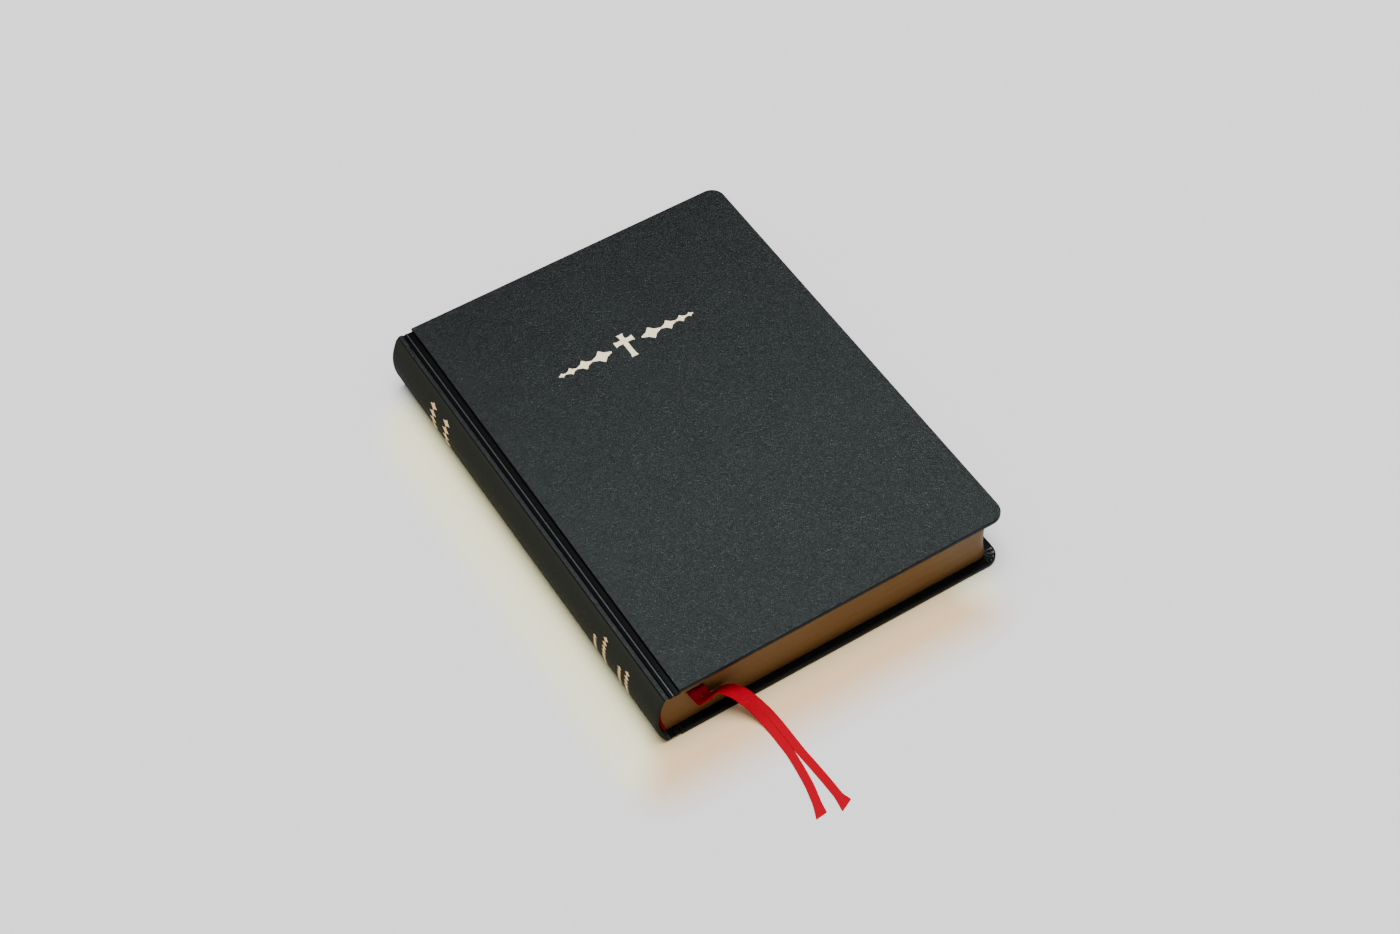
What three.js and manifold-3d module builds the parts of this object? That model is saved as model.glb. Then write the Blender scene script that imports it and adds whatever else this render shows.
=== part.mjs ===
// A casebound bible: sewn gilt-edged book block in a leather-grain case with
// rounded spine, french joints, head and tail bands and two ribbon markers.
//
// Millimetres, +Z up. The closed book lies on its back cover. The origin is the
// centre of the underside: the spine is at -X, the fore edge at +X, the head of
// the book at +Y and the tail at -Y.
import * as THREE from 'three';
import { mergeVertices } from 'three/addons/utils/BufferGeometryUtils.js';
import Module from 'manifold-3d';

const wasm = await Module();
wasm.setup();

// ---- driving dimensions ----------------------------------------------------
const COVER_HEIGHT = 205; // head to tail
const BOARD_REACH = 144.7; // spine-side edge of a board to its fore edge
const SPINE_REACH = 10.4; // spine-side edge of a board to the crown of the round spine
const THICKNESS = 29.9; // outside of the back cover to outside of the front cover
const COVER_THICKNESS = 2.4; // board with its cloth and turn-ins
const COVER_CORNER = 6; // radius of the fore corners of the covers
const SQUARE = 3.5; // how far a cover stands out past the leaves

const CLOTH = 0.35; // leather-grain cloth over the boards
const CLOTH_EDGE = 0.4; // cloth wrapped round a board's edge
const TURN_IN = 15; // cloth folded over the inside of a board
const SLACK = 0.05; // glue line between two stacked flat pieces
const SHEET = 0.15; // endpaper stock

const SPINE_RADIUS = 26.9; // outside of the round spine
const BLOCK_RADIUS = 24; // rounded back of the sewn sections
const ARC_STEPS = 28; // facets in each layer of the spine

const SECTION_COUNT = 24; // folded and sewn sections
const SECTIONS_ABOVE_RIBBONS = 7; // sections between the front cover and the ribbons
const RIBBON_SLOT = 0.7; // parting of the sections where the ribbons lie
const LEAF_CORNER = 5.5; // radius of the leaves' fore corners
const LEAF_WIDTH = 145.7; // gutter to fore edge

const HINGE_REACH = 6.6; // board edge to the crease where a cover hinges

const RIBBON_WIDTH = 3.5;
const RIBBON_THICKNESS = 0.25;

// ---- values worked out from them -------------------------------------------
const WIDTH = BOARD_REACH + SPINE_REACH;
const BOARD_EDGE = WIDTH / 2 - BOARD_REACH; // x of both boards' spine-side edges
const FORE_EDGE = WIDTH / 2;
const HALF_HEIGHT = COVER_HEIGHT / 2;
const LEAF_HALF_HEIGHT = HALF_HEIGHT - SQUARE;
const MID_Z = THICKNESS / 2;
const ARC_X = SPINE_RADIUS - WIDTH / 2; // centre of the spine's round layers

const PASTEDOWN_DEPTH = COVER_THICKNESS + SLACK; // depths below a cover's face
const FLYLEAF_DEPTH = PASTEDOWN_DEPTH + SHEET + SLACK;
const BLOCK_DEPTH = FLYLEAF_DEPTH + SHEET + SLACK;
const SECTION_PITCH = (THICKNESS - 2 * BLOCK_DEPTH - RIBBON_SLOT) / SECTION_COUNT;
const SECTIONS_BELOW_RIBBONS = SECTION_COUNT - SECTIONS_ABOVE_RIBBONS;
const SLOT_BOTTOM = BLOCK_DEPTH + SECTIONS_BELOW_RIBBONS * SECTION_PITCH;

// ---- materials ---------------------------------------------------------------
function finish(color, roughness, metalness = 0) {
  return new THREE.MeshStandardMaterial({ color, roughness, metalness });
}

const leather = () => finish(0x2b3032, 0.55);
const greyboard = () => finish(0x8d867a, 0.95);
const endpaper = () => finish(0x17181a, 0.85);
const giltPaper = () => finish(0x9a7440, 0.45, 0.4);
const cardInlay = () => finish(0xb9ab90, 0.95);
const kraftPaper = () => finish(0xa58c63, 0.95);
const gauze = () => finish(0xd8d2c2, 1);
const linenThread = () => finish(0xe6e1d3, 0.9);
const redSilk = () => finish(0xb30f1c, 0.6);
const goldFoil = () => finish(0xd9bd84, 0.3, 0.9);

// ---- shape helpers -------------------------------------------------------------
function shapeFrom(points) {
  return new THREE.Shape(points.map(([a, b]) => new THREE.Vector2(a, b)));
}

// A flat plate: an outline in X and Y, standing between two heights.
function plate(outline, bottom, top, curveSegments = 6) {
  const options = { depth: top - bottom, bevelEnabled: false, curveSegments };
  const geometry = new THREE.ExtrudeGeometry(outline, options);
  return geometry.translate(0, 0, bottom);
}

// A bar along Y: a profile in X and Z, reaching between two places on Y.
function bar(profile, yLow, yHigh) {
  const options = { depth: yHigh - yLow, bevelEnabled: false };
  const geometry = new THREE.ExtrudeGeometry(shapeFrom(profile), options);
  return geometry.rotateX(Math.PI / 2).translate(0, yHigh, 0);
}

// A rectangle whose two fore corners are rounded.
function leafOutline(xSpine, xFore, halfHeight, radius) {
  const outline = new THREE.Shape();
  outline.moveTo(xSpine, -halfHeight);
  outline.lineTo(xFore - radius, -halfHeight);
  outline.absarc(xFore - radius, -halfHeight + radius, radius, -Math.PI / 2, 0, false);
  outline.lineTo(xFore, halfHeight - radius);
  outline.absarc(xFore - radius, halfHeight - radius, radius, 0, Math.PI / 2, false);
  outline.lineTo(xSpine, halfHeight);
  outline.closePath();
  return outline;
}

// x of a circle about the spine's centre line, at a height.
function arcX(radius, z) {
  return ARC_X - Math.sqrt(radius ** 2 - (z - MID_Z) ** 2);
}

// Profile of one round layer of the spine, spanning halfSpan above and below mid height.
function arcProfile(innerRadius, outerRadius, halfSpan, steps = ARC_STEPS) {
  const along = (radius, angle) => [
    ARC_X - radius * Math.cos(angle),
    MID_Z + radius * Math.sin(angle),
  ];
  const reach = Math.asin(halfSpan / outerRadius);
  const angles = Array.from({ length: steps + 1 }, (_, i) => reach * (1 - (2 * i) / steps));
  const outer = angles.map((angle) => along(outerRadius, angle));
  const inner = angles.map((angle) => along(innerRadius, angle)).reverse();
  return [...outer, ...inner];
}

// ---- cutting and joining ---------------------------------------------------------
function toSolid(geometry) {
  const bare = geometry.clone();
  bare.deleteAttribute('normal');
  bare.deleteAttribute('uv');
  const merged = mergeVertices(bare, 1e-4);
  const mesh = new wasm.Mesh({
    numProp: 3,
    vertProperties: new Float32Array(merged.attributes.position.array),
    triVerts: new Uint32Array(merged.index.array),
  });
  return new wasm.Manifold(mesh);
}

function toGeometry(solid) {
  const mesh = solid.getMesh();
  const geometry = new THREE.BufferGeometry();
  geometry.setAttribute('position', new THREE.BufferAttribute(mesh.vertProperties, 3));
  geometry.setIndex(new THREE.BufferAttribute(mesh.triVerts, 1));
  geometry.computeVertexNormals();
  return geometry;
}

// ---- the assembly ----------------------------------------------------------------
const book = new THREE.Group();

function add(name, geometry, material) {
  const mesh = new THREE.Mesh(geometry, material);
  mesh.name = name;
  book.add(mesh);
}

// A depth below the outside of one cover, as a height.
const heightIn = { front: (depth) => THICKNESS - depth, back: (depth) => depth };

// A plate between two depths below the outside of one cover.
function coverPlate(side, outline, depthOut, depthIn) {
  const heights = [heightIn[side](depthOut), heightIn[side](depthIn)];
  return plate(outline, Math.min(...heights), Math.max(...heights));
}

// Outer face of the cloth over the french joint: reach from the board edge
// towards the spine, and depth below the cover's face. The shoulder is next to
// the spine, then a crease, a fine ridge and the groove against the board.
const JOINT_FACE = [
  [6.2, 1.9],
  [5.9, 1.55],
  [5.3, 1.4],
  [4.4, 1.55],
  [3.75, 2.1],
  [2.9, 1.6],
  [2.4, 2],
  [0.4, 2.05],
  [0, 1.6],
  [0, 0.5],
  [-0.5, 0],
];
const JOINT_UNDERSIDE = [
  [0, 2.4],
  [0.3, 2.5],
  [3.75, 2.5],
  [6.2, 2.4],
];

// Cloth of one cover: over the joint, over the board and folded in round its edges.
function coverCloth(side) {
  const chamfer = 0.5;
  const atReach = ([reach, depth]) => [BOARD_EDGE - reach, heightIn[side](depth)];
  const foreEdge = [
    [FORE_EDGE - chamfer, heightIn[side](0)],
    [FORE_EDGE, heightIn[side](chamfer)],
    [FORE_EDGE, heightIn[side](COVER_THICKNESS - chamfer)],
    [FORE_EDGE - chamfer, heightIn[side](COVER_THICKNESS)],
  ];
  const profile = [...JOINT_FACE.map(atReach), ...foreEdge, ...JOINT_UNDERSIDE.map(atReach)];
  const blank = toSolid(bar(profile, -HALF_HEIGHT, HALF_HEIGHT));

  const spineSide = BOARD_EDGE - HINGE_REACH - 1;
  const cornered = leafOutline(spineSide, FORE_EDGE, HALF_HEIGHT, COVER_CORNER);
  const rounding = toSolid(coverPlate(side, cornered, -1, COVER_THICKNESS + 1));

  const boardSpace = toSolid(
    coverPlate(
      side,
      leafOutline(
        BOARD_EDGE + CLOTH_EDGE,
        FORE_EDGE - CLOTH_EDGE,
        HALF_HEIGHT - CLOTH_EDGE,
        COVER_CORNER - CLOTH_EDGE,
      ),
      CLOTH,
      COVER_THICKNESS - CLOTH,
    ),
  );
  const openInside = toSolid(
    coverPlate(
      side,
      leafOutline(BOARD_EDGE + 2 * CLOTH_EDGE, FORE_EDGE - TURN_IN, HALF_HEIGHT - TURN_IN, 1),
      COVER_THICKNESS / 2,
      COVER_THICKNESS + 1,
    ),
  );
  return toGeometry(blank.intersect(rounding).subtract(boardSpace).subtract(openInside));
}

function board(side) {
  const inset = CLOTH_EDGE + SLACK;
  const outline = leafOutline(
    BOARD_EDGE + inset,
    FORE_EDGE - inset,
    HALF_HEIGHT - inset,
    COVER_CORNER - inset,
  );
  return coverPlate(side, outline, CLOTH + SLACK, COVER_THICKNESS - CLOTH - SLACK);
}

// The half of an endpaper sheet that is glued to the inside of a cover.
function pastedown(side) {
  const margin = 4;
  const outline = leafOutline(BOARD_EDGE + 0.6, FORE_EDGE - margin, HALF_HEIGHT - margin, 4);
  return coverPlate(side, outline, PASTEDOWN_DEPTH, PASTEDOWN_DEPTH + SHEET);
}

// Leaves are all one width, so rounding the back hollows the fore edge by as much.
function leafPlate(bottom, top) {
  const outermost = Math.abs(bottom - MID_Z) > Math.abs(top - MID_Z) ? bottom : top;
  const xSpine = arcX(BLOCK_RADIUS, outermost);
  const outline = leafOutline(xSpine, xSpine + LEAF_WIDTH, LEAF_HALF_HEIGHT, LEAF_CORNER);
  return plate(outline, bottom, top);
}

// The half of an endpaper sheet that turns with the leaves.
function flyleaf(side) {
  const heights = [heightIn[side](FLYLEAF_DEPTH), heightIn[side](FLYLEAF_DEPTH + SHEET)];
  return leafPlate(Math.min(...heights), Math.max(...heights));
}

function addCover(side) {
  add(`${side}_board`, board(side), greyboard());
  add(`${side}_cover_cloth`, coverCloth(side), leather());
  add(`${side}_pastedown`, pastedown(side), endpaper());
  add(`${side}_flyleaf`, flyleaf(side), endpaper());
}

// Sections are numbered from the front cover, as they are read.
function addSections() {
  for (let number = 1; number <= SECTION_COUNT; number += 1) {
    const aboveRibbons = number <= SECTIONS_ABOVE_RIBBONS;
    const lift = aboveRibbons ? RIBBON_SLOT : 0;
    const bottom = BLOCK_DEPTH + lift + (SECTION_COUNT - number) * SECTION_PITCH;
    const name = `section_${String(number).padStart(2, '0')}`;
    add(name, leafPlate(bottom, bottom + SECTION_PITCH - SLACK), giltPaper());
  }
}

// Layers of the spine, from the sections outwards: sewing, gauze, paper lining,
// then the hollow back, the card inlay and the cloth.
function addSpine() {
  const layers = [
    { name: 'spine_cloth', radii: [26.4, SPINE_RADIUS], halfSpan: 12.7, shorter: 0, material: leather },
    { name: 'spine_inlay', radii: [25.4, 26.3], halfSpan: 11.6, shorter: 1, material: cardInlay },
    { name: 'spine_lining', radii: [24.7, 25.1], halfSpan: 10.6, shorter: 9.5, material: kraftPaper },
    { name: 'spine_gauze', radii: [24.4, 24.6], halfSpan: 10.6, shorter: 9.5, material: gauze },
  ];
  for (const { name, radii, halfSpan, shorter, material } of layers) {
    const halfHeight = HALF_HEIGHT - shorter;
    add(name, bar(arcProfile(...radii, halfSpan), -halfHeight, halfHeight), material());
  }
}

// Rows of linen thread that link the sections across their backs.
function addSewing() {
  const rows = 5;
  const halfWidth = 0.5;
  const firstRow = -72;
  const profile = arcProfile(24.1, 24.3, 10.4);
  for (let row = 0; row < rows; row += 1) {
    const y = firstRow * (1 - (2 * row) / (rows - 1));
    const thread = bar(profile, y - halfWidth, y + halfWidth);
    add(`sewing_thread_${row + 1}`, thread, linenThread());
  }
}

// Woven bands that close the two ends of the back.
function addBands() {
  const gap = 0.15; // between the leaves and the band
  const height = 1.6;
  const profile = arcProfile(23.2, 25.2, 10.8);
  const inner = LEAF_HALF_HEIGHT + gap;
  const outer = inner + height;
  add('head_band', bar(profile, inner, outer), redSilk());
  add('tail_band', bar(profile, -outer, -inner), redSilk());
}

// ---- gold ornaments ------------------------------------------------------------
const FOIL = 0.08;
const FOIL_LIFT = 0.02;

// Outline of lozenges in a row along X, each meeting the next at a narrow neck.
function lozengeString(lozenges, start, neck) {
  const upper = [];
  let x = start;
  for (const [length, half] of lozenges) {
    upper.push([x, neck], [x + length / 2, half]);
    x += length;
  }
  upper.push([x, neck]);
  const lower = upper.map(([px, py]) => [px, -py]).reverse();
  return [...upper, ...lower];
}

// A plain cross between two strings of lozenges that shrink outwards.
function addCoverOrnament() {
  const centreX = BOARD_EDGE + 68;
  const centreY = 47.5;
  const bottom = THICKNESS + FOIL_LIFT;

  const stem = 1.1; // half the width of the cross's arms
  const arm = 4.2; // reach of each side arm
  const top = 6;
  const foot = -6.8;
  const crossbar = 2.1; // height of the crossbar's middle
  const cross = [
    [stem, foot],
    [stem, crossbar - stem],
    [arm, crossbar - stem],
    [arm, crossbar + stem],
    [stem, crossbar + stem],
    [stem, top],
    [-stem, top],
    [-stem, crossbar + stem],
    [-arm, crossbar + stem],
    [-arm, crossbar - stem],
    [-stem, crossbar - stem],
    [-stem, foot],
  ];
  const placed = (points) => shapeFrom(points.map(([x, y]) => [centreX + x, centreY + y]));
  add('cover_cross', plate(placed(cross), bottom, bottom + FOIL), goldFoil());

  const lozenges = [[9, 3.3], [7, 2.6], [5, 1.9], [3, 1.2]]; // length and half height
  const start = 7;
  const neck = 0.3;
  const right = lozengeString(lozenges, start, neck);
  const left = right.map(([x, y]) => [-x, y]);
  add('cover_rule_right', plate(placed(right), bottom, bottom + FOIL), goldFoil());
  add('cover_rule_left', plate(placed(left), bottom, bottom + FOIL), goldFoil());
}

// Bands of gold across the round spine: place on Y, height of the band and how
// far it runs either side of the spine's middle.
const SPINE_RULES = [
  [67.5, 5, 9.4],
  [57, 5, 9.4],
  [-59, 2.6, 4.6],
  [-65.5, 3, 9.6],
  [-76.5, 2.6, 5.4],
  [-81.5, 3, 7.8],
];

function addSpineOrnaments() {
  const inner = SPINE_RADIUS + FOIL_LIFT;
  SPINE_RULES.forEach(([y, height, halfSpan], index) => {
    const profile = arcProfile(inner, inner + FOIL, halfSpan, 12);
    add(`spine_rule_${index + 1}`, bar(profile, y - height / 2, y + height / 2), goldFoil());
  });
}

// ---- ribbon markers ----------------------------------------------------------------
const RIBBON_HEIGHT = SLOT_BOTTOM + RIBBON_SLOT / 2 - SLACK / 2;
const TAIL_RADIUS = 0.5; // plain round tube that stands for a ribbon's free tail
const TAIL_SIDES = 8;
const TAIL_STEPS = 44;

// Each ribbon hangs over the tail edge, turns along it, arcs out and down and
// lies on the surface that the book stands on.
const RIBBON_TAILS = {
  left: [
    [-60, -99.4, RIBBON_HEIGHT],
    [-59.7, -100, 18.9],
    [-59.2, -100.6, 17.3],
    [-58.6, -101.4, 15.6],
    [-57.4, -102.2, 14.4],
    [-55.6, -102.5, 14.3],
    [-53.7, -102.4, 14.8],
    [-51.8, -102.4, 15.3],
    [-50.2, -102.7, 15.1],
    [-48.2, -103.7, 14.1],
    [-46.1, -105, 12.5],
    [-44.3, -106.5, 10.4],
    [-42.5, -108.4, 8],
    [-41, -110.2, 5.6],
    [-39.8, -112.4, 3.3],
    [-38.9, -114.7, 1.6],
    [-38.4, -117.6, 0.6],
    [-38.15, -121, 0.55],
    [-38.05, -126, 0.55],
    [-38.05, -130.5, 0.55],
    [-38.3, -134, 0.55],
    [-38.7, -138, 0.55],
    [-39.2, -142, 0.55],
    [-39.8, -146, 0.55],
    [-40.7, -150, 0.55],
    [-41.9, -154, 0.55],
    [-43.4, -157.8, 0.55],
  ],
  right: [
    [-56.5, -99.4, RIBBON_HEIGHT],
    [-56.2, -100, 18.8],
    [-55.7, -100.4, 17.1],
    [-55.1, -100.9, 15.3],
    [-54.2, -101, 14],
    [-52.9, -100.7, 13.3],
    [-51.4, -100.4, 13],
    [-49.9, -100.3, 13.1],
    [-48.1, -100.5, 13.2],
    [-45.6, -101.6, 12.9],
    [-43.1, -103.3, 11.7],
    [-41, -105.2, 9.9],
    [-39.2, -107.4, 7.5],
    [-37.6, -109.7, 5.1],
    [-36.3, -112.3, 3],
    [-35.4, -114.7, 1.4],
    [-34.9, -117.6, 0.6],
    [-34.65, -121, 0.55],
    [-34.55, -126, 0.55],
    [-34.5, -130.5, 0.55],
    [-34.25, -135, 0.55],
    [-33.9, -140, 0.55],
    [-33.6, -145, 0.55],
    [-33.4, -150, 0.55],
    [-33.2, -155, 0.55],
    [-33, -159.2, 0.55],
  ],
};

// The stretch that lies between the leaves, from the head of the spine to the tail edge.
function ribbonBetweenLeaves(exitX) {
  const headX = exitX - 11;
  const half = RIBBON_WIDTH / 2 - SLACK;
  const outline = shapeFrom([
    [headX - half, LEAF_HALF_HEIGHT - 0.5],
    [exitX - half, -LEAF_HALF_HEIGHT - 0.1],
    [exitX + half, -LEAF_HALF_HEIGHT - 0.1],
    [headX + half, LEAF_HALF_HEIGHT - 0.5],
  ]);
  const bottom = RIBBON_HEIGHT - RIBBON_THICKNESS / 2;
  return plate(outline, bottom, bottom + RIBBON_THICKNESS);
}

function ribbonTail(points) {
  const path = new THREE.CatmullRomCurve3(points.map((point) => new THREE.Vector3(...point)));
  const section = Array.from({ length: TAIL_SIDES }, (_, i) => {
    const angle = (2 * Math.PI * i) / TAIL_SIDES;
    return [TAIL_RADIUS * Math.cos(angle), TAIL_RADIUS * Math.sin(angle)];
  });
  const options = { steps: TAIL_STEPS, extrudePath: path, bevelEnabled: false };
  return new THREE.ExtrudeGeometry(shapeFrom(section), options);
}

function addRibbons() {
  for (const [side, points] of Object.entries(RIBBON_TAILS)) {
    add(`ribbon_${side}`, ribbonBetweenLeaves(points[0][0]), redSilk());
    add(`ribbon_${side}_tail`, ribbonTail(points), redSilk());
  }
}

addCover('back');
addSections();
addRibbons();
addSpine();
addSewing();
addBands();
addSpineOrnaments();
addCover('front');
addCoverOrnament();

export default book;
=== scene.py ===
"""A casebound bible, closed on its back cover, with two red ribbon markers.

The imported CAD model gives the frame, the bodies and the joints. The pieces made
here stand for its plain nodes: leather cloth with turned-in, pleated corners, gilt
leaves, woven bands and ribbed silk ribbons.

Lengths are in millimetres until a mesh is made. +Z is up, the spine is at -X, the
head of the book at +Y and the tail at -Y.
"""

import math
import random

import bmesh
import bpy
from mathutils import Matrix, Vector


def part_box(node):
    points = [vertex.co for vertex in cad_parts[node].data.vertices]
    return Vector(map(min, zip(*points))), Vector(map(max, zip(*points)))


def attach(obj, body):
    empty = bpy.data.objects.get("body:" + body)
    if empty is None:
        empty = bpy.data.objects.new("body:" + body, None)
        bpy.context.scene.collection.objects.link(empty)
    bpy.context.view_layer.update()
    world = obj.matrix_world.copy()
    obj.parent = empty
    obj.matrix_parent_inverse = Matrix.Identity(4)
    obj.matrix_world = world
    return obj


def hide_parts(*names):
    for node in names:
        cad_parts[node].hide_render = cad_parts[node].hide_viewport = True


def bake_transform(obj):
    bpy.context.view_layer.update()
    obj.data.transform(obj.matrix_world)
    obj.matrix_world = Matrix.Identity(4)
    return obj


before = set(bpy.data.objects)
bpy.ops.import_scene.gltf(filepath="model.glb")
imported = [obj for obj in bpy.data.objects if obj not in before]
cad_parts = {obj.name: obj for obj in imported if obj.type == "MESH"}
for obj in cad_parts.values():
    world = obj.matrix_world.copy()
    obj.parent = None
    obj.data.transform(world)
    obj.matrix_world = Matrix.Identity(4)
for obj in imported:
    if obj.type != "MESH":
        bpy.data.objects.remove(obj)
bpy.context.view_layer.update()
MM = 0.001

# ---- dimensions of the book, as in the CAD source ---------------------------------
HALF_HEIGHT = 102.5
LEAF_HALF_HEIGHT = 99.0
THICKNESS = 29.9
MID_Z = THICKNESS / 2
COVER_THICKNESS = 2.4
BOARD_EDGE = -67.15  # x of both boards' spine-side edges
FORE_EDGE = 77.55
ARC_X = -50.65  # x of the spine's centre of curvature
SPINE_RADIUS = 26.9
BLOCK_RADIUS = 24.0
LEAF_FORE = 73.1  # x of the hollow fore edge at mid height
FORE_HOLLOW = 0.4  # how closely it follows the round of the leaves' backs
LEAF_CORNER = 5.5
GUTTER_END_X = -61.0  # beyond this the leaves lie flat on their cover
RIBBONS_START_X = -62.6  # the ribbons leave the tail of the book from here
RIBBONS_END_X = -55.1  # to here
PARTING_CLOSES = 0.7  # how far beside the ribbons the leaves touch again
SECTION_COUNT = 24
SECTIONS_ABOVE_RIBBONS = 7
LEAVES_PER_SECTION = 8
SPINE_RULES = 6
THREAD_ROWS = 5

SIDES = ("front", "back")


def height_in(side, depth):
    """The height of a depth below the outside of one cover."""
    return THICKNESS - depth if side == "front" else depth


# ---- camera -------------------------------------------------------------------------
CAMERA_PLACE = (-299.71, -522.74, 775.45)
CAMERA_AIM = (-1.84, -11.17, 15)
CAMERA_ROLL = math.radians(-2.243)
CAMERA_LENS = 63.6
CAMERA_SHIFT_Y = 0.0008


def add_camera():
    data = bpy.data.cameras.new("camera")
    data.lens = CAMERA_LENS
    data.shift_y = CAMERA_SHIFT_Y
    data.sensor_width = 36
    data.clip_start = 0.05
    camera = bpy.data.objects.new("camera", data)
    bpy.context.scene.collection.objects.link(camera)
    bpy.context.scene.camera = camera
    place = Vector(CAMERA_PLACE) * MM
    aim = Vector(CAMERA_AIM) * MM
    upright = (aim - place).to_track_quat("-Z", "Y").to_matrix()
    camera.location = place
    camera.rotation_euler = (upright @ Matrix.Rotation(CAMERA_ROLL, 3, "Z")).to_euler()


# ---- meshes ---------------------------------------------------------------------------
def make_piece(name, points, faces, materials, picks=None, smooth=True):
    """A mesh object from points in millimetres. picks gives each face's material."""
    mesh = bpy.data.meshes.new(name)
    mesh.from_pydata([[c * MM for c in point] for point in points], [], faces)
    for material in materials:
        mesh.materials.append(material)
    if picks:
        mesh.polygons.foreach_set("material_index", picks)
    mesh.polygons.foreach_set("use_smooth", [smooth] * len(mesh.polygons))
    tidy = bmesh.new()
    tidy.from_mesh(mesh)
    bmesh.ops.recalc_face_normals(tidy, faces=tidy.faces)
    tidy.to_mesh(mesh)
    tidy.free()
    mesh.update()
    made = bpy.data.objects.new(name, mesh)
    bpy.context.scene.collection.objects.link(made)
    return made


def keep_edges(piece, degrees):
    """Edges sharper than this stay crisp under smooth shading."""
    limit = math.radians(degrees)
    mesh = piece.data
    sharp = bmesh.new()
    sharp.from_mesh(mesh)
    for edge in sharp.edges:
        edge.smooth = not (edge.is_manifold and edge.calc_face_angle(0) > limit)
    sharp.to_mesh(mesh)
    sharp.free()


def loft(rings, closed=True, capped=False):
    """Points and faces of a surface through rings of equally many points."""
    count = len(rings[0])
    points = [point for ring in rings for point in ring]
    faces = []
    for row in range(len(rings) - 1):
        for i in range(count if closed else count - 1):
            j = (i + 1) % count
            low = row * count
            high = low + count
            faces.append([low + i, low + j, high + j, high + i])
    if capped:
        last = (len(rings) - 1) * count
        faces.append(list(range(count))[::-1])
        faces.append([last + i for i in range(count)])
    return points, faces


def curve_through(stops, steps):
    """A smooth line through stops, with this many steps between neighbours."""
    knots = [Vector(stop) for stop in stops]
    ends = [2 * knots[0] - knots[1], *knots, 2 * knots[-1] - knots[-2]]
    line = []
    for a, b, c, d in zip(ends, ends[1:], ends[2:], ends[3:]):
        for step in range(steps):
            t = step / steps
            slope = c - a
            bend = 2 * a - 5 * b + 4 * c - d
            twist = 3 * b - a - 3 * c + d
            line.append(0.5 * (2 * b + slope * t + bend * t**2 + twist * t**3))
    line.append(knots[-1])
    return line


def smoothstep(t):
    t = min(max(t, 0.0), 1.0)
    return t * t * (3 - 2 * t)


# ---- material helpers -------------------------------------------------------------------
class Shader:
    """A material that is being put together from nodes."""

    def __init__(self, name):
        self.material = bpy.data.materials.new(name)
        self.material.use_nodes = True
        self.tree = self.material.node_tree
        self.surface = self.tree.nodes["Principled BSDF"]
        self.place = self.node("ShaderNodeTexCoord").outputs["Object"]
        self.axes = self.node("ShaderNodeSeparateXYZ", Vector=self.place).outputs

    def node(self, kind, settings=None, **inputs):
        made = self.tree.nodes.new(kind)
        for key, value in (settings or {}).items():
            setattr(made, key, value)
        for key, value in inputs.items():
            self.feed(made.inputs[key], value)
        return made

    def feed(self, socket, value):
        if isinstance(value, bpy.types.NodeSocket):
            self.tree.links.new(value, socket)
        else:
            socket.default_value = value

    def stretched(self, scale):
        """The place of a point, with each axis scaled."""
        return self.node("ShaderNodeMapping", Vector=self.place, Scale=scale).outputs["Vector"]

    def noise(self, scale, detail=3.0, place=None):
        return self.node(
            "ShaderNodeTexNoise", Vector=place or self.place, Scale=scale, Detail=detail
        ).outputs["Fac"]

    def cells(self, scale, warp, reach):
        """Distance to the edges of irregular cells, whose places are warped by this reach."""
        offset = self.node("ShaderNodeVectorMath", {"operation": "SCALE"}, Scale=reach)
        self.feed(offset.inputs[0], warp)
        place = self.node("ShaderNodeVectorMath", {"operation": "ADD"})
        self.feed(place.inputs[0], self.place)
        self.feed(place.inputs[1], offset.outputs[0])
        return self.node(
            "ShaderNodeTexVoronoi",
            {"feature": "DISTANCE_TO_EDGE"},
            Vector=place.outputs[0],
            Scale=scale,
        ).outputs["Distance"]

    def waves(self, scale, axis):
        return self.node(
            "ShaderNodeTexWave",
            {"wave_type": "BANDS", "bands_direction": axis},
            Vector=self.place,
            Scale=scale,
        ).outputs["Fac"]

    def ramp(self, factor, stops):
        """Colours, or greys, at places along factor."""
        made = self.node("ShaderNodeValToRGB", Fac=factor)
        elements = made.color_ramp.elements
        while len(elements) < len(stops):
            elements.new(0.5)
        for element, (place, colour) in zip(elements, stops):
            grey = isinstance(colour, (int, float))
            element.position = place
            element.color = (*([colour] * 3 if grey else colour), 1)
        return made.outputs["Color"]

    def math(self, operation, a, b):
        made = self.node("ShaderNodeMath", {"operation": operation})
        self.feed(made.inputs[0], a)
        self.feed(made.inputs[1], b)
        return made.outputs["Value"]

    def bump(self, height, strength, distance, under=None):
        made = self.node(
            "ShaderNodeBump", Height=height, Strength=strength, Distance=distance
        )
        if under:
            self.tree.links.new(under, made.inputs["Normal"])
        return made.outputs["Normal"]

    def finish(self, colour, roughness, normal=None, **constants):
        self.feed(self.surface.inputs["Base Color"], colour)
        self.feed(self.surface.inputs["Roughness"], roughness)
        if normal:
            self.feed(self.surface.inputs["Normal"], normal)
        for key, value in constants.items():
            self.surface.inputs[key.replace("_", " ")].default_value = value
        return self.material


# ---- materials -----------------------------------------------------------------------------
PEBBLES_PER_METRE = 1500
PEBBLE_PROFILE = [(0.0, 0.0), (0.1, 0.4), (0.3, 0.8), (0.6, 1.0)]
PAINTED_SHEEN_PER_METRE = 3.0  # how fast the painted sheen grows from head to tail
WEAR_PATCHES = 0.25
SHEEN_AND_WEAR_MIDDLE = 0.38


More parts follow.
